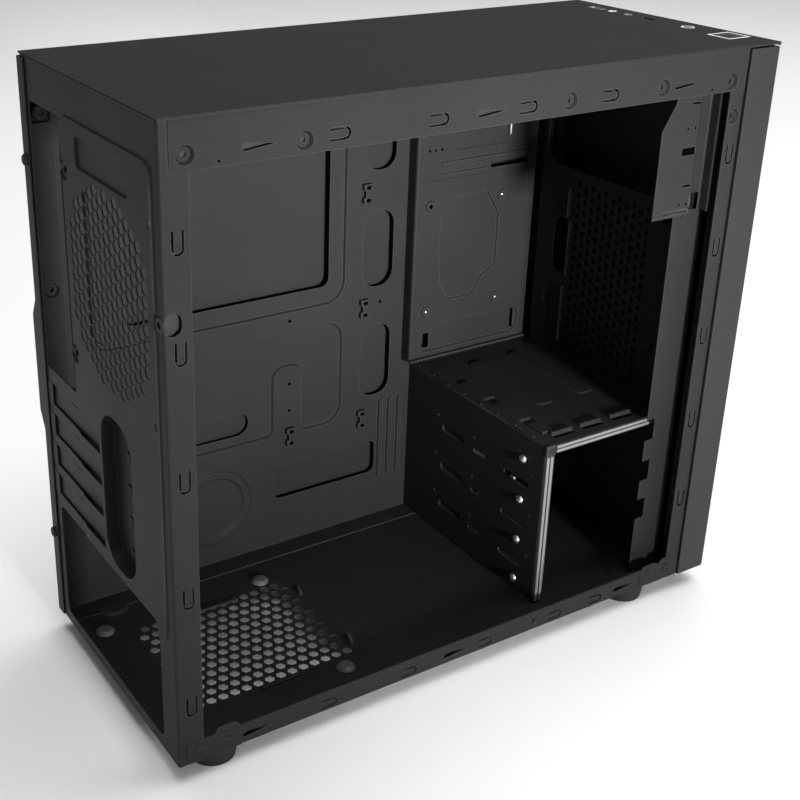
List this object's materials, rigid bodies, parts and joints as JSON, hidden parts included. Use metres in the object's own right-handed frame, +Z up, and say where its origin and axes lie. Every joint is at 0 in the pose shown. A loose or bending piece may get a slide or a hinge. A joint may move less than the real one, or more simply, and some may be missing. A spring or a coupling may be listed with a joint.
{
  "type": "desktop computer tower",
  "caption": "Small steel computer tower chassis with its left side open, an empty board bay, a drive cage, a solid-state drive plate, a front bezel and controls on its top.",
  "frame": {"origin": "on the floor under the feet, in the middle of the width and depth", "axes": "+Z up, front faces -Y, rear panel faces +Y, open left side faces -X"},
  "size_m": [0.184, 0.4066, 0.3745],
  "materials": {
    "black_steel": "fine textured black powder coat",
    "black_plastic": "fine grain",
    "white_plastic": "translucent white",
    "bright_steel": "nickel plated",
    "rubber": "matte",
    "circuit_board": "solder mask"
  },
  "bodies": {
    "chassis": {"top_cover": "black_steel", "floor_pan": "black_steel", "rear_panel": "black_steel", "front_wall": "black_steel", "front_post": "black_steel", "motherboard_tray": "black_steel", "ssd_plate": "black_steel", "cage_top": "black_steel", "cage_rear_wall": "black_steel", "upper_drive_bracket": "black_steel", "slot_cover_1": "black_steel", "slot_cover_2": "black_steel", "slot_cover_3": "black_steel", "slot_cover_4": "black_steel", "slot_screw_1": "black_steel", "slot_screw_2": "black_steel", "slot_screw_3": "black_steel", "slot_screw_4": "black_steel", "foot_screw_rear_left": "black_steel", "foot_screw_rear_right": "black_steel", "foot_screw_front_left": "black_steel", "foot_screw_front_right": "black_steel", "control_housing": "black_plastic", "power_switch": "black_plastic", "reset_switch": "black_plastic", "usb_socket_2": "black_plastic", "power_light_ring": "white_plastic", "reset_ring": "white_plastic", "headphone_jack": "white_plastic", "microphone_jack": "white_plastic", "usb_socket_1": "bright_steel", "drive_pin_1": "bright_steel", "drive_pin_2": "bright_steel", "drive_pin_3": "bright_steel", "drive_pin_4": "bright_steel", "foot_rear_left": "rubber", "foot_rear_right": "rubber", "foot_front_left": "rubber", "foot_front_right": "rubber", "supply_pad_rear_left": "rubber", "supply_pad_rear_right": "rubber", "supply_pad_front_left": "rubber", "supply_pad_front_right": "rubber", "control_board": "circuit_board"},
    "side_panel": {"right_side_panel": "black_steel"},
    "upper_screw": {"side_screw_upper": "black_steel"},
    "lower_screw": {"side_screw_lower": "black_steel"},
    "bezel": {"front_bezel": "black_plastic"},
    "power_cap": {"power_button": "black_plastic"},
    "reset_cap": {"reset_button": "black_plastic"}
  },
  "joints": [
    {"name": "side_panel_slide", "type": "slide", "parent": "chassis", "child": "side_panel", "axis": [0, 1, 0], "range_m": [0, 0.018]},
    {"name": "upper_screw_turn", "type": "hinge", "parent": "side_panel", "child": "upper_screw", "pos_m": [0.0818, 0.202, 0.3145], "axis": [0, 1, 0], "range_deg": [0, 1800]},
    {"name": "lower_screw_turn", "type": "hinge", "parent": "side_panel", "child": "lower_screw", "pos_m": [0.0818, 0.202, 0.073], "axis": [0, 1, 0], "range_deg": [0, 1800]},
    {"name": "bezel_pull", "type": "slide", "parent": "chassis", "child": "bezel", "axis": [0, -1, 0], "range_m": [0, 0.03]},
    {"name": "power_press", "type": "slide", "parent": "chassis", "child": "power_cap", "axis": [0, 0, -1], "range_m": [0, 0.0015], "stiffness_N_per_m": 900, "springref_m": -0.0005},
    {"name": "reset_press", "type": "slide", "parent": "chassis", "child": "reset_cap", "axis": [0, 0, -1], "range_m": [0, 0.0015], "stiffness_N_per_m": 900, "springref_m": -0.0005}
  ]
}
